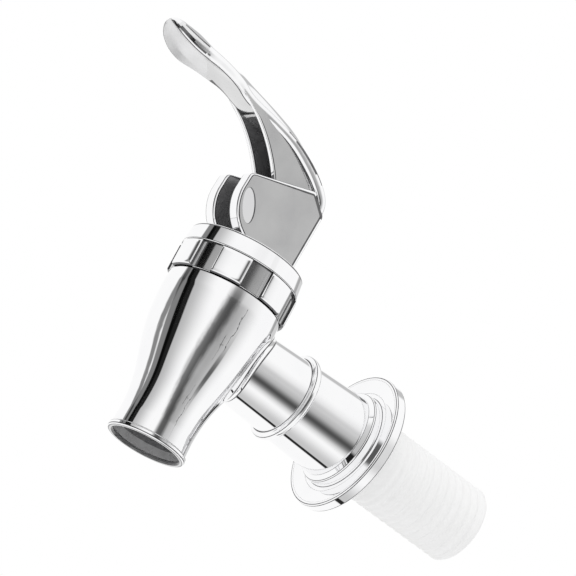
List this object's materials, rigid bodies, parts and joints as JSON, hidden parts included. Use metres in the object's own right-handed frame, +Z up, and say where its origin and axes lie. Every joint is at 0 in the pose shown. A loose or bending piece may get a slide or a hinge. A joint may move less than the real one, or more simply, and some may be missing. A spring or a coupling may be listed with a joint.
{
  "type": "beverage dispenser spigot",
  "caption": "Chrome push-lever spigot for a beverage dispenser, with a threaded plastic shank that goes through the dispenser's wall.",
  "frame": {"origin": "centre of the flange's rear face, on the shank's axis", "axes": "+Y along the shank, into the dispenser's wall; +Z up, along the barrel towards the lever; +X across"},
  "size_m": [0.0284, 0.1055, 0.07],
  "materials": {
    "chrome_shell": "mirror bright plating over moulded plastic",
    "white_plastic": "moulded, slightly matt",
    "soft_seal": "soft, food safe",
    "steel": "drawn wire and rod"
  },
  "bodies": {
    "body": {"valve_body": "chrome_shell", "threaded_pipe": "white_plastic", "pipe_oring": "soft_seal", "bonnet": "chrome_shell", "bonnet_gasket": "soft_seal", "guide_bush": "white_plastic", "stem_oring": "soft_seal", "spring": "steel"},
    "stem": {"stem": "white_plastic", "seat_plug": "soft_seal", "lever_pin": "steel"},
    "lever": {"lever": "chrome_shell"}
  },
  "joints": [
    {"name": "stem_lift", "type": "slide", "parent": "body", "child": "stem", "axis": [0, 0, 1], "range_m": [0, 0.0019], "deforming": ["spring"]},
    {"name": "lever_press", "type": "hinge", "parent": "stem", "child": "lever", "pos_m": [0, -0.0388, 0.023], "axis": [1, 0, 0], "range_deg": [0, 35], "stiffness_Nm_per_rad": 0.014, "springref_deg": -74.48}
  ],
  "couplings": [
    {"joint": "stem_lift", "follows": "lever_press", "m_per_rad": 0.0031}
  ]
}
